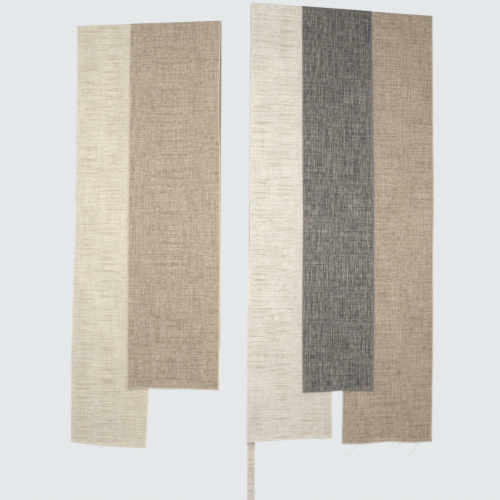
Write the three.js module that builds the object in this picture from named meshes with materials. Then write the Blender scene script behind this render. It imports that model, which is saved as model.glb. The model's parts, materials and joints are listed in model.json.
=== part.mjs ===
// A pair of room curtain panels made of loose cloth lengths. Each length is one raw-edged strip of
// slubby linen-look cloth, folded over the top of a door leaf: a long drop in front, a short saddle
// across the leaf's top edge and a drop behind that holds it by its weight. The leaves themselves
// are not part of the object.
//
// Millimetres, +Z up. The origin is the middle of the left cream saddle, on the top of the leaf.
// +X runs along the left leaf, and the fronts face -Y.

import * as THREE from 'three';

// What the cloth hangs on
const LEAF_THICKNESS = 20;      // the board, rail or door that the saddles lie over
const RIGHT_LEAF_ANGLE = 13.4;  // degrees that the right leaf stands open to the left one
const RIGHT_LEAF_FORWARD = 121.4; // how far its free edge stands in front of the left leaf
const BETWEEN_PANELS = 106.8;   // from the left panel's right edge to the right leaf's free edge

// The cloth
const CLOTH_THICKNESS = 0.8;
const LAYER_GAP = 0.4;          // air between two lengths that lie on each other
const FOLD_GAP = 0.3;           // between a saddle and the drops at its two ends

// How the lengths lie beside and on each other, at the fold
const LEFT_TAUPE_OVERLAP = 82;  // of the left taupe length on the left cream one
const RIGHT_GRAY_OVERLAP = 110; // of the gray length on the right cream one
const RIGHT_SLIT = 18;          // between the right cream and taupe lengths, under the gray one
const CREAM_OVER_STRIP = 1;     // how far the right cream length reaches past the narrow strip

// Each length: start is its left edge at the fold, measured from the origin in the left panel and
// from the leaf's free edge in the right one. frontLean and rearLean are how far each hem hangs to
// the right of the fold, and a negative one hangs to the left. frontLeft and frontRight are the
// drops of the front hem's two corners from the top of the leaf, and rear is the drop behind it.
const LEFT_CREAM_WIDTH = 266;
const LEFT_CREAM = {
  name: 'left_cream', colour: 0xdcd4c2, layer: 0,
  start: -LEFT_CREAM_WIDTH / 2, width: LEFT_CREAM_WIDTH,
  frontLeft: 1423, frontRight: 1436, frontLean: -20, rear: 1120, rearLean: 12,
};
const LEFT_TAUPE = {
  name: 'left_taupe', colour: 0xb7a48b, layer: 1,
  start: rightEdge(LEFT_CREAM) - LEFT_TAUPE_OVERLAP, width: 314,
  frontLeft: 1237, frontRight: 1237, frontLean: -5, rear: 1100, rearLean: -7,
};
const RIGHT_STRIP = {
  name: 'right_strip', colour: 0xd8d0be, layer: 0,
  start: 0, width: 24.5,
  frontLeft: 1100, frontRight: 1100, frontLean: 0, rear: 1800, rearLean: -6,
};
const RIGHT_CREAM = {
  name: 'right_cream', colour: 0xdcd4c2, layer: 1,
  start: RIGHT_STRIP.start - CREAM_OVER_STRIP, width: 277,
  frontLeft: 1378, frontRight: 1374, frontLean: -11, rear: 1130, rearLean: 6,
};
const RIGHT_TAUPE = {
  name: 'right_taupe', colour: 0xae9c82, layer: 1,
  start: rightEdge(RIGHT_CREAM) + RIGHT_SLIT, width: 312,
  frontLeft: 1394, frontRight: 1397, frontLean: 0, rear: 1110, rearLean: 0,
};
const RIGHT_GRAY = {
  name: 'right_gray', colour: 0x77726b, layer: 2,
  start: rightEdge(RIGHT_CREAM) - RIGHT_GRAY_OVERLAP, width: 232,
  frontLeft: 1223, frontRight: 1223, frontLean: 2, rear: 1090, rearLean: -2,
};

const CLOTH_ROUGHNESS = 0.95;
const LAYER_PITCH = CLOTH_THICKNESS + LAYER_GAP;

function rightEdge(length) {
  return length.start + length.width;
}

// Distance from the leaf's middle plane to the inner face of a layer's drops
function innerFace(layer) {
  return LEAF_THICKNESS / 2 + layer * LAYER_PITCH;
}

function clothMaterial(colour) {
  return new THREE.MeshStandardMaterial({ color: colour, roughness: CLOTH_ROUGHNESS, metalness: 0 });
}

function clothMesh(name, geometry, colour) {
  const mesh = new THREE.Mesh(geometry, clothMaterial(colour));
  mesh.name = name;
  return mesh;
}

// A flat sheet standing in the XZ plane, from its corner points, with its thickness towards -Y
function standingSheet(corners) {
  const outline = new THREE.Shape(corners.map(([x, z]) => new THREE.Vector2(x, z)));
  const geometry = new THREE.ExtrudeGeometry(outline, { depth: CLOTH_THICKNESS, bevelEnabled: false });
  return geometry.rotateX(Math.PI / 2);
}

// A drop reaches up beside the saddle, so that its top is level with the saddle's outer face
function dropSheet(length, lean, dropLeft, dropRight) {
  const top = length.layer * LAYER_PITCH + CLOTH_THICKNESS;
  return standingSheet([
    [length.start, top],
    [length.start + lean, -dropLeft],
    [rightEdge(length) + lean, -dropRight],
    [rightEdge(length), top],
  ]);
}

function frontDrop(length) {
  const geometry = dropSheet(length, length.frontLean, length.frontLeft, length.frontRight);
  geometry.translate(0, -innerFace(length.layer), 0);
  return clothMesh(`${length.name}_front_drop`, geometry, length.colour);
}

function rearDrop(length) {
  const geometry = dropSheet(length, length.rearLean, length.rear, length.rear);
  geometry.translate(0, innerFace(length.layer) + CLOTH_THICKNESS, 0);
  return clothMesh(`${length.name}_rear_drop`, geometry, length.colour);
}

function saddle(length) {
  const depth = 2 * (innerFace(length.layer) - FOLD_GAP);
  const geometry = new THREE.BoxGeometry(length.width, depth, CLOTH_THICKNESS);
  const height = length.layer * LAYER_PITCH + CLOTH_THICKNESS / 2;
  geometry.translate(length.start + length.width / 2, 0, height);
  return clothMesh(`${length.name}_saddle`, geometry, length.colour);
}

// One cloth length is three sheets, because it bends at the front and the back of the leaf's top
function clothLength(length) {
  const group = new THREE.Group();
  group.add(frontDrop(length), saddle(length), rearDrop(length));
  return group;
}

function leftPanel() {
  const panel = new THREE.Group();
  panel.add(clothLength(LEFT_CREAM), clothLength(LEFT_TAUPE));
  return panel;
}

function rightPanel() {
  const panel = new THREE.Group();
  panel.add(clothLength(RIGHT_STRIP), clothLength(RIGHT_CREAM));
  panel.add(clothLength(RIGHT_TAUPE), clothLength(RIGHT_GRAY));
  panel.position.set(rightEdge(LEFT_TAUPE) + BETWEEN_PANELS, -RIGHT_LEAF_FORWARD, 0);
  panel.rotation.z = THREE.MathUtils.degToRad(RIGHT_LEAF_ANGLE);
  return panel;
}

const curtainPair = new THREE.Group();
curtainPair.add(leftPanel(), rightPanel());

export default curtainPair;
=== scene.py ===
# %% [markdown]
# # A pair of room curtain panels made of raw-edged cloth lengths
#
# Six lengths of slubby, linen-look cloth hang folded over the tops of two door leaves: cream and
# taupe on the left leaf, and cream, taupe, charcoal gray and one narrow cream strip on the right
# leaf. Nothing is sewn. Every edge is cut raw and frays. The leaves themselves are not made.
#
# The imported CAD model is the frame. It gives each length as three flat solids: the drop in front,
# the saddle over the leaf's top and the drop behind. Here each length becomes one continuous sheet.

# %% Load the frame
import json
import math
import random

import bmesh
import bpy
from mathutils import Matrix, Vector, noise


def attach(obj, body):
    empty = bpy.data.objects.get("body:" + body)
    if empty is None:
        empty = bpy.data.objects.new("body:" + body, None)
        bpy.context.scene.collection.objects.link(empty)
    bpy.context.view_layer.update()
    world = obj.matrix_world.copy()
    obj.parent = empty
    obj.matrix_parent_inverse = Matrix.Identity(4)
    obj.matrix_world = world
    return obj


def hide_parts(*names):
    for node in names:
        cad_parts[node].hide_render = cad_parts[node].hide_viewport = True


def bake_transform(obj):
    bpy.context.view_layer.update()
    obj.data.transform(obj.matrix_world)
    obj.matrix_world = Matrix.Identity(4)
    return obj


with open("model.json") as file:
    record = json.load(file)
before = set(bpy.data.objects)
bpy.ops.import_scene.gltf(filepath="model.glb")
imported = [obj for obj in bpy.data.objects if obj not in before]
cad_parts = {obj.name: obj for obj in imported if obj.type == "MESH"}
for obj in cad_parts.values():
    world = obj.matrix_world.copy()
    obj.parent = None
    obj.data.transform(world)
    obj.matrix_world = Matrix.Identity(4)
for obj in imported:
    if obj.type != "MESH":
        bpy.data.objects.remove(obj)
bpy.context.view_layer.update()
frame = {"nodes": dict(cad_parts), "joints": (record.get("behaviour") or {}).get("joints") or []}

# %% [markdown]
# ## The camera
#
# The camera comes first, because the rest is seen through it. It stands about two metres in
# front of the left leaf at chest height and looks straight ahead. A camera can take in more of the
# top by tilting up or by shifting its lens. Tilting would make the upright edges lean together, and
# they run parallel here, so the lens is shifted, and the camera stays level but for a fifth of a
# degree of roll.

# %% Camera
CAMERA_PLACE = Vector((0.631, -2.003, -0.876))
CAMERA_TURN = math.radians(4.84)    # to the left of the left leaf's square
CAMERA_ROLL = math.radians(0.19)
LENS_MM = 43.2
LENS_RISE = 0.066                   # of the picture's side


def add_camera():
    data = bpy.data.cameras.new("camera")
    data.lens = LENS_MM
    data.shift_y = LENS_RISE
    data.clip_end = 50
    camera = bpy.data.objects.new("camera", data)
    bpy.context.scene.collection.objects.link(camera)
    turn = Matrix.Rotation(CAMERA_TURN, 4, "Z") @ Matrix.Rotation(math.pi / 2, 4, "X")
    camera.matrix_world = (
        Matrix.Translation(CAMERA_PLACE) @ turn @ Matrix.Rotation(CAMERA_ROLL, 4, "Z")
    )
    bpy.context.scene.camera = camera
    return camera


camera = add_camera()
view_direction = camera.matrix_world.to_3x3() @ Vector((0, 0, -1))
print("camera looks along", tuple(round(x, 3) for x in view_direction))

# %% [markdown]
# ## What the frame says about each length
#
# A sheet has to lie where its three CAD solids lie, so its sizes are read from them. The swing
# joint's axis gives the direction of the leaf that the length hangs on. Everything else is the
# place of a solid's corners in that direction: typing the numbers in again would be shorter, but
# then a change to the CAD would leave the cloth behind.

# %% Read the lengths from the frame
NAMES = ["left_cream", "left_taupe", "right_strip", "right_cream", "right_taupe", "right_gray"]
WELL_BELOW_THE_FOLD = -0.5


def leaf_directions(side):
    """Along the leaf to the right, and from its front to its back."""
    joint = next(j for j in frame["joints"] if j["name"] == f"{side}_cream_swing")
    along = -Vector(joint["axis"]).normalized()
    return along, Vector((-along.y, along.x, 0))


def hem_corners(points):
    """The hem's left and right corner, each as (place along the leaf, drop below its top)."""
    low = [p for p in points if p.z < WELL_BELOW_THE_FOLD]
    left, right = min(low, key=lambda p: p.x), max(low, key=lambda p: p.x)
    return (left.x, -left.z), (right.x, -right.z)


class Length:
    """One cloth length. Its corners are (along the leaf, behind the leaf's middle, height)."""

    def __init__(self, name):
        self.name = name
        self.along, self.back = leaf_directions(name.split("_")[0])
        saddle, front, rear = (
            self.corners(f"{name}_{part}") for part in ("saddle", "front_drop", "rear_drop")
        )
        self.middle = sum(p.y for p in saddle) / len(saddle)
        self.left, self.right = min(p.x for p in saddle), max(p.x for p in saddle)
        self.width = self.right - self.left
        self.thick = max(p.z for p in saddle) - min(p.z for p in saddle)
        self.top = min(p.z for p in saddle) + self.thick / 2
        self.face = self.middle - max(p.y for p in front) + self.thick / 2
        self.hems = {"front": hem_corners(front), "rear": hem_corners(rear)}

    def corners(self, node):
        vertices = frame["nodes"][node].data.vertices
        return [Vector((v.co.dot(self.along), v.co.dot(self.back), v.co.z)) for v in vertices]

    def model_point(self, s, y, z):
        """A point given along the leaf, behind its middle and in height, in the model's own axes."""
        return self.along * s + self.back * (self.middle + y) + Vector((0, 0, z))


lengths = {name: Length(name) for name in NAMES}
for length in lengths.values():
    print(length.name, "width", round(length.width, 4), "hems", length.hems)

# %% [markdown]
# ## How each length hangs
#
# Cloth that hangs straight is never quite flat. Each length gets slow upright ripples, a hem that
# isn't cut quite straight, and a hem edge that curls a little. A cloth simulation could make the
# ripples, but a flat, freely hanging strip barely changes in one, and it would cost minutes. So
# the ripples are a formula. The lengths that lie on top are given room in front of the ones under
# them, so that they can slide along the leaf without cutting through.

# %% How each length hangs
MM = 0.001


class Hang:
    """How a length hangs in front. The sizes are given in millimetres."""

    def __init__(self, seed, lift, ripple, wave, curl, hem_bow, edge_curl, hem_wave=0):
        self.seed = seed
        self.lift = lift * MM            # how far it stands in front of what is under it
        self.ripple = ripple * MM        # how deep its ripples are
        self.wave = wave * MM            # from one ripple to the next
        self.curl = curl * MM            # how far the hem turns forward
        self.hem_bow = hem_bow * MM      # how much lower the middle of the hem is
        self.edge_curl = edge_curl * MM  # how far the side edges turn forward
        self.hem_wave = hem_wave * MM    # how far the hem waves up and down


HANGS = {
    "left_cream": Hang(3.1, 0.0, 2.2, 150, 3.5, 5.0, 0.0),
    "left_taupe": Hang(7.7, 3.0, 3.6, 170, 4.5, -1.5, 1.5),
    "right_strip": Hang(1.3, 0.0, 0.0, 90, 0.0, 0.0, 0.0),
    "right_cream": Hang(12.9, 0.2, 2.2, 140, 3.0, -4.0, 0.0),
    "right_taupe": Hang(21.4, 0.2, 2.2, 165, 4.0, -2.6, 0.0, 2.0),
    "right_gray": Hang(30.2, 3.2, 3.4, 150, 3.0, -1.5, 1.2),
}
print("forward lift in mm", {name: round(hang.lift / MM, 1) for name, hang in HANGS.items()})

# %% [markdown]
# The ripples are sine waves along the leaf that drift sideways on their way down. A plain sine
# looks like corrugated iron, so slow noise is added to it. Near the fold the cloth is pulled tight
# over the leaf, so the ripples grow from nothing there. A cut edge also turns forward a little,
# and more in some places than in others.

# %% Ripples and curl
REAR_RIPPLE = 2.5 * MM
LIFT_GROWS_OVER = 0.30    # metres below the fold
CURL_HEIGHT = 0.022
EDGE_CURL_WIDTH = 0.02
FOLD_DRIFT = 0.9          # radians that the ripples drift sideways
FOLD_DRIFT_RATE = 2.1     # radians of that drift per metre down
EVEN_SHARE = 0.32         # of the regular ripples
UNEVEN_SHARE = 0.4        # of the noise between them


def ease(x):
    """From 0 to 1 with a soft start and a soft end."""
    x = min(1.0, max(0.0, x))
    return x * x * (3 - 2 * x)


def slow_noise(x, y, z):
    return noise.noise(Vector((x, y, z)))


def ripple(hang, s, depth):
    """From 0 to 1: upright folds that drift sideways on their way down."""
    drift = FOLD_DRIFT * math.sin(FOLD_DRIFT_RATE * depth + hang.seed)
    folds = math.sin(2 * math.pi * s / hang.wave + hang.seed + drift)
    uneven = slow_noise(s * 9, depth * 2.5, hang.seed)
    return min(1.0, max(0.0, 0.5 + EVEN_SHARE * folds + UNEVEN_SHARE * uneven))


def forward_lift(hang, s, depth, drop, from_edge):
    """How far the front drop stands in front of its CAD solid."""
    grown = ease(depth / LIFT_GROWS_OVER)
    lift = grown * (hang.lift + hang.ripple * ripple(hang, s, depth))
    hem_turn = ease(1 - (drop - depth) / CURL_HEIGHT) ** 2
    hem_uneven = 0.6 + 0.5 * slow_noise(s * 14, hang.seed, 4.2)
    side_turn = ease(1 - from_edge / EDGE_CURL_WIDTH)
    side_uneven = 0.5 + 0.5 * slow_noise(depth * 5, s * 2, hang.seed + 9)
    curl = hang.curl * hem_turn * hem_uneven
    return lift + curl + hang.edge_curl * side_turn * side_uneven * grown


one_metre_down = ripple(HANGS["right_gray"], 0.6, 1.0)
print("ripple at the gray length's left edge, one metre down:", round(one_metre_down, 2))

# %% [markdown]
# ## Hand-cut edges
#
# The lengths were cut by hand, so their edges swerve by a few millimetres. A straight edge would
# look printed, and pure noise would put the swerves in the wrong places. So each edge is a list of
# (share of the front drop, mm to the right), for its left and then its right edge, and a little
# noise goes on top. Behind, the two lengths beside the slit are cut narrower, so that one can slide
# towards the other without their threads meeting.

# %% Hand-cut edges
EDGE_WANDER = 0.7 * MM    # how far the cut edge wanders from its swerve
EDGE_WANDER_WIDTH = 0.08  # share of the width that wanders with the edge
HEM_WANDER = 1.0 * MM
HEM_WAVES = 1.75          # waves of the hem across the width
HEM_WAVE_TOP = 0.48       # share of the width where the hem is highest
HEM_ENDS = 2.8 * MM       # the thread ends make up this much of the drop
CUT_EDGES = {
    "left_cream": (
        [(0, 0), (0.3, 1), (0.5, 3.5), (0.8, 1), (1, 2.5)],
        [(0, 0), (0.5, 3), (0.87, 5.5), (0.95, 1.5), (1, -2.3)],
    ),
    "left_taupe": (
        [(0, 0), (0.5, -1), (1, 1)],
        [(0, -4.5), (0.16, -6.5), (0.27, -5.5), (0.38, -1.5), (0.7, 1.2), (1, 0)],
    ),
    "right_strip": ([(0, 0), (1, 0)], [(0, -1.5), (1, -1.5)]),
    "right_cream": (
        [(0, 3), (0.2, 0), (0.36, 1.3), (0.54, 4.5), (0.72, -0.8), (1, 0)],
        [(0, -1), (0.9, -2.7), (1, -1.8)],
    ),
    "right_taupe": (
        [(0, 0), (0.88, 4.5), (1, 2)],
        [(0, -6.5), (0.21, -4), (0.44, 0), (0.6, -2.8), (0.7, -1), (1, -4.6)],
    ),
    "right_gray": (
        [(0, -3.8), (0.36, -3), (0.55, -0.5), (0.86, -3), (1, -1)],
        [(0, -5.6), (0.24, -6.5), (0.45, -2), (0.75, 0), (1, -3.3)],
    ),
}
REAR_TRIMS = {"right_cream": (0, -4), "right_taupe": (4, 0)}    # mm to the right at the rear hem


def swerve(points, share):
    """The edge's shift at that share of the drop, eased from each point to the next."""
    for (a, a_mm), (b, b_mm) in zip(points, points[1:]):
        if share <= b:
            return (a_mm + (b_mm - a_mm) * ease((share - a) / (b - a))) * MM
    return points[-1][1] * MM


def edge_places(length, part, share):
    """Where the left and right edges are along the leaf, at that share of a drop."""
    places = []
    trims = REAR_TRIMS.get(length.name, (0, 0))
    ends = zip((length.left, length.right), length.hems[part], CUT_EDGES[length.name], trims)
    for at_fold, (at_hem, drop), points, trim in ends:
        lean = (at_hem - at_fold) * ease(share)
        if part == "front":
            shift = swerve(points, share)
        else:
            shift = swerve(points, 0) * (1 - ease(share)) + trim * MM * ease(share)
        places.append(at_fold + lean + shift)
    return places


def hem_shape(hang, across, s):
    """How much lower the front hem is than a straight line between its corners."""
    bow = hang.hem_bow * 4 * across * (1 - across)
    wave = -hang.hem_wave * math.cos(2 * math.pi * HEM_WAVES * (across - HEM_WAVE_TOP))
    return bow + wave + HEM_WANDER * slow_noise(s * 30, hang.seed, 0.7)


def edge_wander(hang, across, depth):
    """Sideways wander of the cut edges, fading to nothing inside the cloth."""
    side = -1 if across < 0.5 else 1
    near = ease(1 - min(across, 1 - across) / EDGE_WANDER_WIDTH)
    slow = slow_noise(depth * 7, side * 3.3, hang.seed)
    quick = slow_noise(depth * 90, side * 8.1, hang.seed)
    return near * EDGE_WANDER * (slow + 0.5 * quick)


for name, length in lengths.items():
    left, right = edge_places(length, "front", 0.5)
    print(name, "is", round(right - left, 4), "m wide halfway down")

# %% [markdown]
# ## One continuous sheet over the leaf
#
# The path of the cloth is a long drop, a quarter round over the leaf's front edge, a short flat
# saddle, a quarter round over the back edge and a second drop. A sheet could be modelled flat and
# bent by modifiers, but then its parts would not lie exactly where the frame has them. Instead a
# grid is made by an operator, and each of its points is moved to its place on the path. The grid
# is crowded towards the edges, the hems and the fold, where the shape changes fastest.

# %% Drops, bends and saddle
INNER_BEND = 1.5 * MM      # the leaf's worn edge, which the innermost cloth bends round
LAYER_GAP = 0.4 * MM       # the air between two layers in the frame
LEAF_HALF = min(length.face - length.thick / 2 for length in lengths.values())


def bend_radius(length):
    """Layers lie round the same bend, so an outer one has a larger radius."""
    return INNER_BEND + (length.face - length.thick / 2 - LEAF_HALF)


def drop_point(length, hang, part, across, share):
    """A point of the front or rear drop, share of the way from the fold to its hem."""
    (left_s, left_drop), (right_s, right_drop) = length.hems[part]
    left, right = edge_places(length, part, share)
    s = left + (right - left) * across
    drop = left_drop + (right_drop - left_drop) * across - HEM_ENDS
    if part == "front":
        drop += hem_shape(hang, across, s)
    start = length.top - bend_radius(length)
    depth = (drop + start) * share
    s += edge_wander(hang, across, depth)
    from_edge = length.width * min(across, 1 - across)
    if part == "front":
        y = -length.face - forward_lift(hang, s, depth, drop + start, from_edge)
    else:
        grown = ease(depth / LIFT_GROWS_OVER)
        y = length.face + grown * (rear_lift(length) + REAR_RIPPLE * ripple(hang, s + 0.4, depth))
    return (s, y, start - depth), depth


def rear_lift(length):
    """Room for the ripples of the layers between this one and the leaf."""
    layer = round((length.face - length.thick / 2 - LEAF_HALF) / (length.thick + LAYER_GAP))
    return layer * REAR_RIPPLE


def fold_place(length, hang, across):
    """The place along the leaf of a point on the fold or the saddle."""
    left, right = edge_places(length, "front", 0)
    return left + (right - left) * across + edge_wander(hang, across, 0)


def bend_point(length, hang, part, across, turn):
    """A point of the quarter round, turn of the way from the drop to the saddle."""
    r = bend_radius(length)
    angle = turn * math.pi / 2
    y = length.face - r + r * math.cos(angle)
    sign = -1 if part == "front" else 1
    return fold_place(length, hang, across), sign * y, length.top - r + r * math.sin(angle)


for name, length in lengths.items():
    print(name, "bends with a radius of", round(bend_radius(length) / MM, 2), "mm")

# %% [markdown]
# Every row of the grid gets a part of the path and a share of it. The rows are crowded towards both
# ends of a drop with a sine: even rows would need to be twice as many for the same smooth curl.

# %% Rows from hem to hem
BEND_STEPS = 6
SADDLE_STEPS = 5
COLUMN = 4 * MM
ROW_FRONT = 5 * MM
ROW_REAR = 8 * MM
CROWDING = 0.75


def crowded(x):
    """Maps 0 to 1 onto itself, with more points near both ends."""
    return x - CROWDING * math.sin(2 * math.pi * x) / (2 * math.pi)


def path_rows(length):
    """Every row of the grid from the front hem to the rear hem, as (part, share)."""
    front = round(length.hems["front"][0][1] / ROW_FRONT)
    rear = round(length.hems["rear"][0][1] / ROW_REAR)
    rows = [("front", 1 - crowded(i / front)) for i in range(front)]
    rows += [("front_bend", i / BEND_STEPS) for i in range(BEND_STEPS)]
    rows += [("saddle", i / SADDLE_STEPS) for i in range(SADDLE_STEPS)]
    rows += [("rear_bend", 1 - i / BEND_STEPS) for i in range(BEND_STEPS)]
    rows += [("rear", crowded(i / rear)) for i in range(rear + 1)]
    return rows


def path_point(length, hang, row, across):
    """The point in the model's axes, and how far along the cut it is from the front fold."""
    part, share = row
    r = bend_radius(length)
    flat = 2 * (length.face - r)
    quarter = r * math.pi / 2
    if part == "front":
        (s, y, z), run = drop_point(length, hang, "front", across, share)
        run = -run
    elif part == "rear":
        (s, y, z), run = drop_point(length, hang, "rear", across, share)
        run += 2 * quarter + flat
    elif part == "saddle":
        s = fold_place(length, hang, across)
        y, z = (share - 0.5) * flat, length.top
        run = quarter + flat * share
    else:
        side = part.split("_")[0]
        s, y, z = bend_point(length, hang, side, across, share)
        run = quarter * share if side == "front" else quarter * (2 - share) + flat
    return length.model_point(s, y, z), run


for name, length in lengths.items():
    print(name, "has", len(path_rows(length)), "rows")

# %% [markdown]
# The grid's own operator gives clean quads, and each point then moves to its place. The UV map is
# laid out in metres of flat cloth, so that the weave has its real size. A number per point says how
# near it is to a cut edge. The thickness is a live Solidify, which keeps the sheet itself easy to
# bend at the fold: a sheet with a modelled thickness would have to bend both of its faces alike.

# %% Make the sheets
RAW_EDGE_WIDTH = 7 * MM


def raw_edge_share(length, row, across):
    """1 at a cut edge, falling to 0 a few millimetres inside the cloth."""
    part, share = row
    distance = length.width * min(across, 1 - across)
    if part in length.hems:
        distance = min(distance, length.hems[part][0][1] * (1 - share))
    return ease(1 - distance / RAW_EDGE_WIDTH)


def make_sheet(length, hang):
    rows = path_rows(length)
    columns = max(4, round(length.width / COLUMN))
    bm = bmesh.new()
    bmesh.ops.create_grid(bm, x_segments=columns, y_segments=len(rows) - 1, size=1)
    uv = bm.loops.layers.uv.new("cloth")
    raw = bm.verts.layers.float.new("raw_edge")
    cut = {}
    for vertex in bm.verts:
        across = crowded((vertex.co.x + 1) / 2)
        row = rows[round((vertex.co.y + 1) / 2 * (len(rows) - 1))]
        place, run = path_point(length, hang, row, across)
        vertex[raw] = raw_edge_share(length, row, across)
        cut[vertex.index] = (across * length.width, run)
        vertex.co = place
    for face in bm.faces:
        face.smooth = True
        for loop in face.loops:
            loop[uv].uv = cut[loop.vert.index]
    mesh = bpy.data.meshes.new(f"{length.name}_cloth")
    bm.to_mesh(mesh)
    bm.free()
    sheet = bpy.data.objects.new(f"{length.name}_cloth", mesh)
    bpy.context.scene.collection.objects.link(sheet)
    thickness = sheet.modifiers.new("cloth thickness", "SOLIDIFY")
    thickness.thickness = length.thick
    thickness.offset = 0
    return sheet


sheets = {name: make_sheet(lengths[name], HANGS[name]) for name in NAMES}
for name, sheet in sheets.items():
    print(name, "has", len(sheet.data.vertices), "points")

# %% [markdown]
# ## Raw edges
#
# Nothing is hemmed, so weft ends stick out of the side edges and warp ends out of the hems. Hair
# curves would be quick, but they don't export. So each thread end is a short line with a round
# section, many in one curve, and the curve is then turned into a mesh. Ends only lean outwards,
# away from the cloth behind, so that one length can slide over another.

# %% Thread ends
THREAD_RADIUS = 0.2 * MM
LOOSE_RADIUS = 0.36 * MM
SIDE_END_EVERY = 2.3 * MM
REAR_END_EVERY = 4.5 * MM
HEM_END_EVERY = 1.7 * MM
SIDE_REACH = (0.8 * MM, 2.0 * MM)
BUSY_REACH = 1.6 * MM      # added where the edge has frayed more
HEM_REACH = (1.2 * MM, 3.2 * MM)
ROOT = 0.6 * MM            # how far inside the cloth a thread end starts


def new_object(name, data):
    made = bpy.data.objects.new(name, data)
    bpy.context.scene.collection.objects.link(made)
    return made


def thread_mesh(name, threads, radius):
    """One mesh of many threads, each a list of points in the model's axes."""
    curve = bpy.data.curves.new(name, "CURVE")
    curve.dimensions = "3D"
    curve.bevel_depth = radius
    curve.bevel_resolution = 0
    curve.use_fill_caps = True
    for points in threads:
        spline = curve.splines.new("POLY")
        spline.points.add(len(points) - 1)
        for place, point in zip(points, spline.points):
            point.co = (*place, 1)
    maker = new_object(f"{name}_maker", curve)
    bpy.context.view_layer.update()
    graph = bpy.context.evaluated_depsgraph_get()
    mesh = bpy.data.meshes.new_from_object(maker.evaluated_get(graph))
    mesh.name = name
    bpy.data.objects.remove(maker)
    return new_object(name, mesh)


def outward(length, part):
    """Away from the leaf on that side."""
    return length.back * (-1 if part == "front" else 1)


def thread_end(length, hang, part, across, share, way, reach, rng):
    """A short thread end that leaves the cloth's edge in the direction way."""
    start = path_point(length, hang, (part, share), across)[0]
    out = outward(length, part)
    side = way.cross(out)
    lean = side * rng.uniform(-0.5, 0.5) + out * rng.uniform(0, 0.25)
    middle = start + (way + lean * 0.4) * reach * 0.5
    tip = start + (way + lean) * reach
    return [start - way * ROOT, middle, tip]


def side_ends(length, hang, part, rng):
    drop = length.hems[part][0][1]
    every = SIDE_END_EVERY if part == "front" else REAR_END_EVERY
    ends = []
    for across in (0, 1):
        way = length.along * (1 if across else -1)
        for i in range(int(drop / every)):
            share = (i + rng.random()) * every / drop
            busy = 0.5 + slow_noise(share * drop * 11, across * 7, hang.seed)
            reach = rng.uniform(*SIDE_REACH) + BUSY_REACH * max(0, busy - 0.3) * rng.random()
            ends.append(thread_end(length, hang, part, across, share, way, reach, rng))
    return ends


def hem_ends(length, hang, part, rng):
    ends = []
    for i in range(int(length.width / HEM_END_EVERY)):
        across = (i + rng.random()) * HEM_END_EVERY / length.width
        reach = rng.uniform(*HEM_REACH)
        ends.append(
            thread_end(length, hang, part, min(across, 1), 1, Vector((0, 0, -1)), reach, rng)
        )
    return ends


print("thread ends in a metre of front edge:", round(1 / SIDE_END_EVERY))

# %% [markdown]
# Here and there a whole weft or warp end has come loose. It leaves the edge, arches outwards and
# hangs down. The long ones are placed one by one, because they show against what is behind them.

# %% Loose threads
LOOSE_AT_SIDES = [
    # length, edge (0 left, 1 right), mm below the fold, mm outwards, mm down
    ("right_taupe", 1, 323, 17, 22),
    ("right_taupe", 1, 344, 20, 30),
    ("right_taupe", 1, 479, 15, 18),
    ("right_taupe", 1, 1088, 12, 16),
    ("right_taupe", 1, 1178, 15, 20),
    ("right_cream", 0, 182, 8, 9),
    ("right_cream", 0, 446, 10, 16),
    ("right_cream", 0, 462, 12, 12),
    ("right_cream", 0, 486, 9, 14),
    ("right_cream", 0, 1153, 8, 12),
    ("right_cream", 0, 1206, 9, 10),
    ("right_cream", 0, 1366, 9, 16),
    ("left_taupe", 1, 124, 5, 6),
    ("left_taupe", 1, 240, 5, 7),
    ("left_cream", 0, 1405, 12, 14),
]
LOOSE_AT_HEMS = [
    # length, share of the width, mm sideways (left is less than 0), mm down
    ("right_taupe", 0.17, -40, 33),
    ("right_taupe", 0.57, -12, 20),
    ("right_taupe", 0.66, -15, 8),
    ("right_taupe", 0.83, -32, 38),
    ("right_cream", 0.06, -8, 15),
    ("right_cream", 0.90, 7, 12),
    ("left_cream", 0.12, -10, 9),
    ("left_cream", 0.38, 12, 6),
    ("left_cream", 0.95, -7, 10),
]


THREAD_STEPS = 10


def arching_thread(start, way, sideways, down, rng):
    """Leaves the edge in the direction way, and hangs more and more steeply."""
    points = []
    wobble = rng.uniform(0, 6)
    for i in range(THREAD_STEPS + 1):
        t = i / THREAD_STEPS
        sway = 1.2 * MM * math.sin(5 * t + wobble) * t
        away = way * (sideways * (1 - (1 - t) ** 2) + sway)
        points.append(start + away + Vector((0, 0, -down * t**1.8)))
    return points


def hem_thread(start, along, sideways, down, rng):
    """Leaves the hem downwards, and trails off to one side."""
    points = []
    wobble = rng.uniform(0, 6)
    for i in range(THREAD_STEPS + 1):
        t = i / THREAD_STEPS
        sway = 1.5 * MM * math.sin(6 * t + wobble) * t
        place = start + along * (sideways * t**1.3 + sway)
        points.append(place + Vector((0, 0, -down * (1 - (1 - t) ** 1.5))))
    return points


def loose_threads(length, hang, rng):
    threads = []
    drop = length.hems["front"][0][1]
    forward = outward(length, "front")
    for name, across, depth, reach, down in LOOSE_AT_SIDES:
        if name == length.name:
            start = path_point(length, hang, ("front", depth * MM / drop), across)[0]
            way = length.along * (1 if across else -1) + forward * 0.15
            threads.append(arching_thread(start, way, reach * MM, down * MM, rng))
    for name, across, sideways, down in LOOSE_AT_HEMS:
        if name == length.name:
            start = path_point(length, hang, ("front", 1), across)[0]
            threads.append(hem_thread(start, length.along, sideways * MM, down * MM, rng))
    return threads


print("loose threads:", len(LOOSE_AT_SIDES), "at the sides and", len(LOOSE_AT_HEMS), "at the hems")

# %% [markdown]
# All the ends of one edge go into one piece, because hundreds of tiny objects would be slow and
# hard to move together. The front and the rear fringe are two pieces, because they ride on
# different bodies. Each has its own seeded random numbers, so it comes out the same every time.

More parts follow.
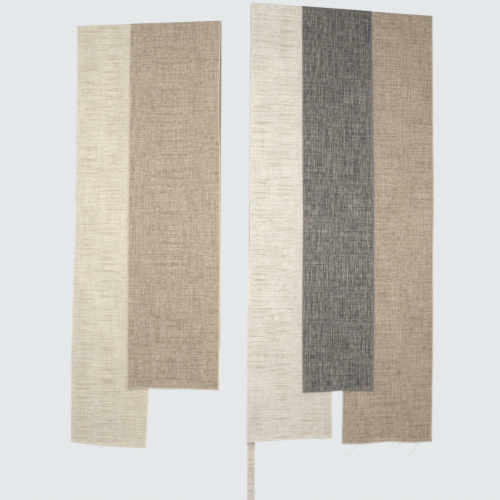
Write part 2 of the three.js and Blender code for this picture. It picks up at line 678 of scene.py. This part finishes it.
# %% Make the fringes
def make_fringe(length, hang, part):
    rng = random.Random(f"{length.name} {part}")
    threads = side_ends(length, hang, part, rng) + hem_ends(length, hang, part, rng)
    return thread_mesh(f"{length.name}_{part}_fringe", threads, THREAD_RADIUS)


def make_loose_threads(length, hang):
    threads = loose_threads(length, hang, random.Random(length.name))
    return thread_mesh(f"{length.name}_loose_threads", threads, LOOSE_RADIUS)


fringes = {
    (name, part): make_fringe(lengths[name], HANGS[name], part)
    for name in NAMES
    for part in ("front", "rear")
}
placed_one_by_one = [name for name, *rest in LOOSE_AT_SIDES + LOOSE_AT_HEMS]
loose = {
    name: make_loose_threads(lengths[name], HANGS[name])
    for name in NAMES
    if name in placed_one_by_one
}
for made in [*fringes.values(), *loose.values()]:
    print(made.name, "has", len(made.data.polygons), "faces")

# %% [markdown]
# ## What each piece rides on
#
# A front drop can be lifted away from the leaf, and it turns about the fold. The frame has two
# bodies for it: the fold body, with the saddle and the rear drop, and the front body. The sheet
# itself is left in the model's own axes and rides on no body. Two separate meshes would leave a slit
# at the fold. The fringes don't cross the fold, so each rides on one body.

# %% Bodies, slots and sheets
BEND_BEGINS = 8 * MM        # in front of the leaf's middle
BEND_ENDS_BEHIND = 0.1 * MM   # the sheet's own front face


def slot_name(name):
    kind = name.split("_")[1]
    return "cream_cloth" if kind == "strip" else f"{kind}_cloth"


for name, length in lengths.items():
    sheet = sheets[name]
    in_front = [fringes[name, "front"]] + ([loose[name]] if name in loose else [])
    length.model_point(0, -BEND_BEGINS, 0)
    length.model_point(0, BEND_ENDS_BEHIND - length.face, 0)
    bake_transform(sheet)
    for piece in in_front:
        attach(piece, f"{name}_front")
    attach(fringes[name, "rear"], f"{name}_fold")
    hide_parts(*(f"{name}_{part}" for part in ("saddle", "front_drop", "rear_drop")))

# %% [markdown]
# ## Slubby plain weave
#
# All three cloths are plain weaves of slub yarn: the yarns change in thickness and tone as they
# run, which draws short streaks across and along. An image of cloth would repeat, and would blur
# close up, so the streaks are noise stretched along each yarn direction. The noise reads the
# sheet's own UV map, laid out in metres of flat cloth, so it follows the cloth over the fold and
# has real sizes. Weft streaks run across and warp streaks run up and down. A product of two sine
# waves decides which yarn is on top, and it raises each crossing a little. These helpers add one
# node each, or a few that always go together.

# %% Node helpers
YARN_PITCH = 0.9 * MM
STREAK_RANGE = (0.62, 1.38)    # where most of the sum of two noises lies
SPOT_RANGE = (0.3, 0.7)        # where most of a single noise lies


def add_node(tree, kind, inputs, **settings):
    """Adds a node with its settings, and fills its inputs with other sockets or plain values."""
    made = tree.nodes.new(kind)
    for setting, value in settings.items():
        setattr(made, setting, value)
    for socket, value in inputs.items():
        if isinstance(value, bpy.types.NodeSocket):
            tree.links.new(value, made.inputs[socket])
        else:
            made.inputs[socket].default_value = value
    return made


def stretched_noise(tree, place, per_metre, seed, detail=1.0):
    """Noise with its own number of spots per metre across and along the cloth, from 0 to 1."""
    across, along = per_metre
    spread = add_node(
        tree,
        "ShaderNodeMapping",
        {"Vector": place, "Location": (seed, 1.7 * seed, 0), "Scale": (across, along, 1)},
    )
    spots = add_node(
        tree,
        "ShaderNodeTexNoise",
        {"Vector": spread.outputs["Vector"], "Scale": 1, "Detail": detail, "Roughness": 0.6},
        noise_dimensions="2D",
    )
    return spots.outputs["Fac"]


def yarn_streaks(tree, place, spots, seed):
    """Long streaks with short ones among them, from 0 to 1."""
    long_streaks, short_streaks = (
        stretched_noise(tree, place, per_metre, seed + 3 * i) for i, per_metre in enumerate(spots)
    )
    both = math_node(tree, "ADD", long_streaks, short_streaks)
    return mapped(tree, both, *STREAK_RANGE)


def mapped(tree, value, low, high, to_low=0.0, to_high=1.0):
    """Spreads low to high over to_low to to_high, and holds it there beyond them."""
    spread = add_node(
        tree,
        "ShaderNodeMapRange",
        {"Value": value, "From Min": low, "From Max": high, "To Min": to_low, "To Max": to_high},
    )
    return spread.outputs["Result"]


def math_node(tree, operation, a, b=0.0):
    return add_node(tree, "ShaderNodeMath", {0: a, 1: b}, operation=operation).outputs[0]


def mixed(tree, share, a, b, blend_type="MIX"):
    """Colour a where share is 0 and colour b where it is 1."""
    mix = add_node(
        tree, "ShaderNodeMix", {"Factor": share}, data_type="RGBA", blend_type=blend_type
    )
    for socket, value in ((mix.inputs[6], a), (mix.inputs[7], b)):
        if isinstance(value, bpy.types.NodeSocket):
            tree.links.new(value, socket)
        else:
            socket.default_value = (*value, 1)
    return mix.outputs[2]


def yarn_tones(tree, value, tones):
    """A ramp through the tones of a yarn, each given as (place, colour)."""
    ramp = add_node(tree, "ShaderNodeValToRGB", {"Fac": value})
    elements = ramp.color_ramp.elements
    while len(elements) < len(tones):
        elements.new(0.5)
    for element, (place, colour) in zip(elements, tones):
        element.position = place
        element.color = (*colour, 1)
    return ramp.outputs["Color"]


def yarn_crossings(tree, cloth_uv):
    """From -1, where a warp yarn is on top, to 1, where a weft yarn is."""
    split = add_node(tree, "ShaderNodeSeparateXYZ", {"Vector": cloth_uv})
    turns = [
        math_node(tree, "MULTIPLY", split.outputs[axis], math.pi / YARN_PITCH) for axis in ("X", "Y")
    ]
    return math_node(tree, "MULTIPLY", *(math_node(tree, "SINE", turn) for turn in turns))


def tinted(colour, tone):
    """The colour times one number, or times a number for each channel."""
    tones = tone if isinstance(tone, tuple) else (tone,) * 3
    return tuple(channel * share for channel, share in zip(colour, tones))


print("yarns in a centimetre:", round(10 * MM / YARN_PITCH))

# %% [markdown]
# Each cloth is a mean colour, and its yarns' tones are shares of that colour. Giving every tone as
# a colour of its own would be more direct, but then a new mean colour would mean new tones. The
# gray cloth's warp has the widest range, from nearly black to beige, which draws its upright lines.

# %% The three weaves
class Weave:
    """The look of one cloth: its yarn tones, and how large and strong their streaks are."""

    def __init__(self, colour, weft, warp, weft_shows, slub, tint, edge):
        self.colour = colour            # the cloth's mean colour
        self.weft = weft                # (place on the ramp, share of the colour)
        self.warp = warp
        self.weft_shows = weft_shows    # share of the face that is weft
        self.slub = slub                # colour and strength of the dark slubs
        self.tint = tint                # how far single spots turn warmer or cooler
        self.edge = edge                # colour of the raw edge


CREAM = (0.760, 0.705, 0.600)
TAUPE = (0.480, 0.395, 0.298)
GRAY = (0.222, 0.202, 0.181)
WEAVES = {
    "cream_cloth": Weave(
        CREAM,
        weft=[(0.0, (0.73, 0.655, 0.525)), (0.35, (0.95, 0.93, 0.88)), (1.0, (1.1, 1.13, 1.19))],
        warp=[(0.0, (0.82, 0.78, 0.69)), (1.0, (1.13, 1.15, 1.195))],
        weft_shows=0.56,
        slub=((0.50, 0.37, 0.22), 0.6),
        tint=0.75,
        edge=(0.86, 0.80, 0.69),
    ),
    "taupe_cloth": Weave(
        TAUPE,
        weft=[(0.0, (0.56, 0.50, 0.42)), (0.5, (1.0, 1.0, 1.0)), (1.0, (1.38, 1.44, 1.54))],
        warp=[(0.0, (0.57, 0.52, 0.43)), (0.5, (1.0, 1.0, 1.0)), (1.0, (1.41, 1.47, 1.59))],
        weft_shows=0.5,
        slub=((0.27, 0.21, 0.16), 0.35),
        tint=1.5,
        edge=(0.78, 0.68, 0.55),
    ),
    "gray_cloth": Weave(
        GRAY,
        weft=[(0.0, (0.15, 0.19, 0.23)), (0.5, (0.94, 0.98, 1.01)), (1.0, (1.84, 1.9, 2.0))],
        warp=[(0.0, (0.06, 0.08, 0.09)), (0.5, (0.98, 0.96, 0.93)), (1.0, (2.6, 2.55, 2.52))],
        weft_shows=0.42,
        slub=((0.10, 0.105, 0.115), 0.4),
        tint=2.1,
        edge=(0.27, 0.25, 0.23),
    ),
}
for kind, weave in WEAVES.items():
    print(kind, "has the mean colour", weave.colour)

# %% [markdown]
# The layers go on in the order of the real thing, and the yarns come first. Each yarn takes its
# tone from its own streaks, the crossing decides which of the two shows, and a few thick dark slubs
# lie on top. One noise for both yarns would be cheaper, but it makes blots instead of threads.

# %% Yarns and slubs
WEFT_SPOTS = ((5.5, 300), (55, 330))     # long and short streaks, per metre across and along
WARP_SPOTS = ((310, 9), (330, 50))
SLUB_SPOTS = (12, 380)
SLUB_DETAIL = 0.6
SLUB_RANGE = (0.60, 0.74)                # only the highest noise is a slub
CROSSING_REACH = 0.6                     # most crossings lie within this of 0
CROSSING_SOFTNESS = 0.25


def tone_ramp(colour, tones):
    """The cloth's colour times each tone."""
    return [(place, tinted(colour, tone)) for place, tone in tones]


def woven_yarns(tree, cloth_uv, weave, colour, seed):
    """The colour of the yarns, which of them is on top, and where the weft has its streaks."""
    weft_spots = yarn_streaks(tree, cloth_uv, WEFT_SPOTS, seed)
    warp_spots = yarn_streaks(tree, cloth_uv, WARP_SPOTS, seed + 7)
    weft = yarn_tones(tree, weft_spots, tone_ramp(colour, weave.weft))
    warp = yarn_tones(tree, warp_spots, tone_ramp(colour, weave.warp))
    crossing = yarn_crossings(tree, cloth_uv)
    halfway = CROSSING_REACH * (1 - 2 * weave.weft_shows)
    weft_on_top = mapped(tree, crossing, halfway - CROSSING_SOFTNESS, halfway + CROSSING_SOFTNESS)
    woven = mixed(tree, weft_on_top, warp, weft)
    slub_colour, slub_share = weave.slub
    slub_noise = stretched_noise(tree, cloth_uv, SLUB_SPOTS, seed + 11, SLUB_DETAIL)
    slubs = mapped(tree, slub_noise, *SLUB_RANGE, 0, slub_share)
    return mixed(tree, slubs, woven, slub_colour), crossing, weft_spots


print("long weft streaks in a metre across:", WEFT_SPOTS[0][0])

# %% [markdown]
# Dye never takes evenly. There are lighter and darker patches, and small spots that are warmer or
# cooler. One even dye would be simpler, but it makes cloth look like paper. A slow change from the
# fold to the hem is painted shade, darker towards the fold and the hem where the light falls off,
# and on the cream lengths painted light at the fold. At a cut edge the yarns part and look paler,
# so the raw edge comes last.

# %% Uneven dye, painted shade along the drop, and raw edges
PATCH_SPOTS = (16, 9)
PATCH_DETAIL = 2
PATCH_RANGE = (0.25, 0.75)
PATCH_TONES = (0.945, 1.055)
TINT_SPOTS = (90, 120)
WARM_SHIFT = (0.03, 0.0, -0.045)         # at a tint of 1; the cool spots shift the other way
FRAY_BEGINS = 0.2                        # share of the raw edge where the cloth starts to pale
FRAY_STRENGTH = 0.8
FRONT_LENGTH = 1.4                       # metres from the fold to the lowest hem


def painted_shade_along_drop(tree, cloth_uv, drift):
    """Painted light and shade along the cloth, where the light falls off: shares of the colour at
    the fold and the hem.
    """
    at_fold, at_hem = drift
    run = add_node(tree, "ShaderNodeSeparateXYZ", {"Vector": cloth_uv}).outputs["Y"]
    down = mapped(tree, math_node(tree, "ABSOLUTE", run), 0, FRONT_LENGTH)
    tones = [(0.0, at_fold), (0.5, 1.0), (1.0, at_hem)]
    return yarn_tones(tree, down, [(place, (tone,) * 3) for place, tone in tones])


def dyed_unevenly(tree, cloth_uv, weave, colour, seed):
    """The colour with its lighter and darker patches, and its warm and cool spots."""
    patches = stretched_noise(tree, cloth_uv, PATCH_SPOTS, seed + 17, PATCH_DETAIL)
    patch_tone = mapped(tree, patches, *PATCH_RANGE, *PATCH_TONES)
    patchy = mixed(tree, 1.0, colour, patch_tone, "MULTIPLY")
    spots = mapped(tree, stretched_noise(tree, cloth_uv, TINT_SPOTS, seed + 23), *SPOT_RANGE)
    warm, cool = (
        tuple(1 + side * weave.tint * shift for shift in WARM_SHIFT) for side in (1, -1)
    )
    return mixed(tree, 1.0, patchy, mixed(tree, spots, warm, cool), "MULTIPLY")


def paler_at_edges(tree, colour, weave):
    """The raw edge's own colour where the sheet says that a cut edge is near."""
    raw_edge = add_node(tree, "ShaderNodeAttribute", {}, attribute_name="raw_edge").outputs["Fac"]
    frayed = mapped(tree, raw_edge, FRAY_BEGINS, 1.0, 0, FRAY_STRENGTH)
    return mixed(tree, frayed, colour, weave.edge)


print("patches are between", *PATCH_TONES, "of the colour")

# %% [markdown]
# One material serves all the lengths, built once for each with its own shade. That shade is partly
# its dye lot and partly painted light and shade, which evens out how much light falls on each
# length: the left panel's lengths are painted darker. A single material for both cream lengths would
# be simpler, but cloth from two bolts never matches, and its streaks would be the same twice. The
# yarns are raised with a bump: real yarns in the mesh would be more than a million tiny tubes.
# Linen-look yarn is dull, with a faint sheen from its loose fibres.

# %% Cloth material
YARN_RELIEF = 0.15 * MM
WEFT_RELIEF = 0.8           # how much higher a thick stretch of weft stands than a thin one
BUMP_STRENGTH = 0.5
NEXT_SEED = 3.7             # from one length's noise to the next


def raise_yarns(tree, shader, crossing, weft_spots):
    """Each crossing stands up a little, and the thick stretches of weft stand up more."""
    thick_weft = math_node(tree, "MULTIPLY", weft_spots, WEFT_RELIEF)
    height = math_node(tree, "ADD", math_node(tree, "ABSOLUTE", crossing), thick_weft)
    settings = {"Height": height, "Strength": BUMP_STRENGTH, "Distance": YARN_RELIEF}
    bump = add_node(tree, "ShaderNodeBump", settings)
    tree.links.new(bump.outputs["Normal"], shader.inputs["Normal"])


def cloth_material(name, weave, shade, drift, seed):
    """The weave in one length: shade is its dye lot with painted light and shade, and drift is the
    painted shade along its drop, both as shares of the cloth's colour.
    """
    material = bpy.data.materials.new(name)
    material.use_nodes = True
    tree = material.node_tree
    shader = tree.nodes["Principled BSDF"]
    cloth_uv = add_node(tree, "ShaderNodeUVMap", {}, uv_map="cloth").outputs["UV"]
    colour = tinted(weave.colour, shade)
    woven, crossing, weft_spots = woven_yarns(tree, cloth_uv, weave, colour, seed)
    dyed = dyed_unevenly(tree, cloth_uv, weave, woven, seed)
    # the painted light and shade along the drop goes over the dyed colour
    with_painted_shade = mixed(tree, 1.0, dyed, painted_shade_along_drop(tree, cloth_uv, drift), "MULTIPLY")
    tree.links.new(paler_at_edges(tree, with_painted_shade, weave), shader.inputs["Base Color"])
    raise_yarns(tree, shader, crossing, weft_spots)
    shader.inputs["Roughness"].default_value = 0.92
    shader.inputs["Specular IOR Level"].default_value = 0.25
    shader.inputs["Sheen Weight"].default_value = 0.08
    shader.inputs["Sheen Roughness"].default_value = 0.6
    return material


DYE_LOTS_AND_PAINTED_LIGHT = {
    # the shade as shares of the mean colour, partly dye lot and partly painted light and shade for
    # the length's place, then the painted shade along the drop, as shares at the fold and at the hem
    "left_cream": ((0.955, 0.961, 0.945), (1.01, 1.0)),
    "left_taupe": ((0.975, 0.975, 0.955), (1.0, 0.91)),
    "right_strip": ((0.96, 0.96, 1.045), (1.0, 1.0)),
    "right_cream": ((0.998, 1.02, 1.08), (1.06, 1.0)),
    "right_taupe": ((1.06, 1.04, 1.035), (0.91, 0.90)),
    "right_gray": ((0.97, 0.97, 0.965), (0.78, 0.78)),
}
cloths = {
    name: cloth_material(f"{name}_weave", WEAVES[slot_name(name)], shade, drift, NEXT_SEED * i + 1)
    for i, (name, (shade, drift)) in enumerate(DYE_LOTS_AND_PAINTED_LIGHT.items())
}
for name, cloth in cloths.items():
    print(cloth.name, "has", len(cloth.node_tree.nodes), "nodes")

# %% [markdown]
# The thread ends are yarns pulled out of the same cloth, some darker and some lighter. A UV map
# along hundreds of tiny threads would be wasted work, so their tone changes with the place on the
# object instead.

# %% Yarn material for the fringes
YARN_SPOTS_PER_METRE = 160
YARN_TONES = (0.9, 1.25)


def yarn_material(name, weave):
    material = bpy.data.materials.new(name)
    material.use_nodes = True
    tree = material.node_tree
    shader = tree.nodes["Principled BSDF"]
    place = add_node(tree, "ShaderNodeTexCoord", {}).outputs["Object"]
    spots = add_node(
        tree, "ShaderNodeTexNoise", {"Vector": place, "Scale": YARN_SPOTS_PER_METRE, "Detail": 1}
    )
    share = mapped(tree, spots.outputs["Fac"], *SPOT_RANGE)
    darkest, lightest = (tinted(weave.colour, tone) for tone in YARN_TONES)
    colour = mixed(tree, share, darkest, lightest)
    tree.links.new(colour, shader.inputs["Base Color"])
    shader.inputs["Roughness"].default_value = 0.9
    shader.inputs["Specular IOR Level"].default_value = 0.25
    shader.inputs["Sheen Weight"].default_value = 0.1
    return material


yarns = {
    kind: yarn_material(kind.replace("cloth", "yarn"), weave) for kind, weave in WEAVES.items()
}
for name in NAMES:
    kind = slot_name(name)
    sheets[name].data.materials.append(cloths[name])
    for part in ("front", "rear"):
        fringes[name, part].data.materials.append(yarns[kind])
    if name in loose:
        loose[name].data.materials.append(yarns[kind])
print("materials", sorted(material.name for material in bpy.data.materials))

# %% [markdown]
# ## Light and surroundings
#
# There is no wall behind the cloth, so that the back can be seen too: the world gives the plain
# backdrop. One world colour for everything would light the cloth flatly from all sides. So what
# the camera sees of the world and what lights the cloth are two backgrounds: the second is dark at
# the horizon and bright overhead, and lights the floor more than the upright cloth.

# %% The world behind and above
BACKDROP = (0.785, 0.807, 0.820)
BACKDROP_STRENGTH = 1.0
OVERHEAD = (0.95, 0.98, 1.0)
OVERHEAD_STRENGTH = 0.6


def make_world():
    world = bpy.data.worlds.new("studio")
    bpy.context.scene.world = world
    world.use_nodes = True
    tree = world.node_tree
    output = tree.nodes["World Output"]
    fill = tree.nodes["Background"]
    fill.inputs["Color"].default_value = (*OVERHEAD, 1)
    direction = add_node(tree, "ShaderNodeTexCoord", {}).outputs["Generated"]
    height = add_node(tree, "ShaderNodeSeparateXYZ", {"Vector": direction}).outputs["Z"]
    overhead = math_node(tree, "POWER", math_node(tree, "MAXIMUM", height, 0), 2)
    strength = math_node(tree, "MULTIPLY", overhead, OVERHEAD_STRENGTH)
    tree.links.new(strength, fill.inputs["Strength"])
    backdrop = add_node(
        tree, "ShaderNodeBackground", {"Color": (*BACKDROP, 1), "Strength": BACKDROP_STRENGTH}
    )
    seen = add_node(tree, "ShaderNodeLightPath", {}).outputs["Is Camera Ray"]
    chosen = add_node(
        tree,
        "ShaderNodeMixShader",
        {0: seen, 1: fill.outputs["Background"], 2: backdrop.outputs["Background"]},
    )
    tree.links.new(chosen.outputs["Shader"], output.inputs["Surface"])
    return world


print("the world is", make_world().name)

# %% [markdown]
# The cloth hangs, so it stands on nothing, and the floor is a plain disc well below it. A floor
# without an end would rise behind the lowest hem, where a wall should be.

# %% Floor
FLOOR_DROP = 2.03
FLOOR_RADIUS = 1.1
FLOOR_COLOUR = (0.62, 0.63, 0.64)
OBJECT_MIDDLE = Vector((0.455, 0.0, -0.75))


def make_floor():
    bm = bmesh.new()
    bmesh.ops.create_circle(bm, cap_ends=True, segments=96, radius=FLOOR_RADIUS)
    bmesh.ops.translate(bm, verts=bm.verts, vec=(OBJECT_MIDDLE.x, 0, -FLOOR_DROP))
    mesh = bpy.data.meshes.new("floor")
    bm.to_mesh(mesh)
    bm.free()
    floor = new_object("floor", mesh)
    material = bpy.data.materials.new("pale_floor")
    material.use_nodes = True
    shader = material.node_tree.nodes["Principled BSDF"]
    shader.inputs["Base Color"].default_value = (*FLOOR_COLOUR, 1)
    shader.inputs["Roughness"].default_value = 0.8
    mesh.materials.append(material)
    return floor


print("floor", round(2 * FLOOR_RADIUS, 1), "m across:", make_floor().name)

# %% [markdown]
# One wide soft light stands in front of the middle, so the middle is brightest and the far ends get
# less. A light far away would be more even, but a room's window is near too. A lifted hem comes
# close to this light, so it is held back near its panel. A weak light fills the left panel, which
# hangs farther back, and another one lights the rear drops. Two more, in line with the leaves,
# look into the gaps between front and rear drops.

# %% Lights
KEY_SPREAD = math.radians(150)
KEY_SMOOTH = 2.0
KEY_COLOUR = (1.0, 0.99, 0.975)


def soft_light(name, place, target, width, height, power, colour=(1, 1, 1)):
    data = bpy.data.lights.new(name, "AREA")
    data.shape = "RECTANGLE"
    data.size = width
    data.size_y = height
    data.energy = power
    data.color = colour
    light = new_object(name, data)
    light.location = place
    way = Vector(target) - Vector(place)
    light.rotation_euler = way.to_track_quat("-Z", "Y").to_euler()
    light.visible_camera = False
    return light


def held_back_near(light):
    """A lifted hem comes close to this light, and is kept from burning out."""
    light.data.spread = KEY_SPREAD
    light.data.use_nodes = True
    tree = light.data.node_tree
    falloff = add_node(tree, "ShaderNodeLightFalloff", {"Strength": 1, "Smooth": KEY_SMOOTH})
    tree.links.new(falloff.outputs["Quadratic"], tree.nodes["Emission"].inputs["Strength"])


key = soft_light("key", (0.5, -1.65, -0.66), (0.5, 0, -0.66), 2.2, 0.7, 37.4, KEY_COLOUR)
held_back_near(key)
soft_light("left_fill", (-0.6, -1.4, 0.05), (0.05, 0, -0.2), 0.8, 0.8, 4.2)
soft_light("left_gap", (-1.9, 0, -0.7), (0, 0, -0.7), 1.2, 1.2, 20)
soft_light("right_gap", (3.0, 0.48, -0.7), (0.9, 0, -0.7), 1.2, 1.2, 20)
soft_light("rear_fill", (0.455, 2.2, -0.5), OBJECT_MIDDLE, 1.6, 1.0, 24)
bpy.context.scene.view_settings.view_transform = "Standard"
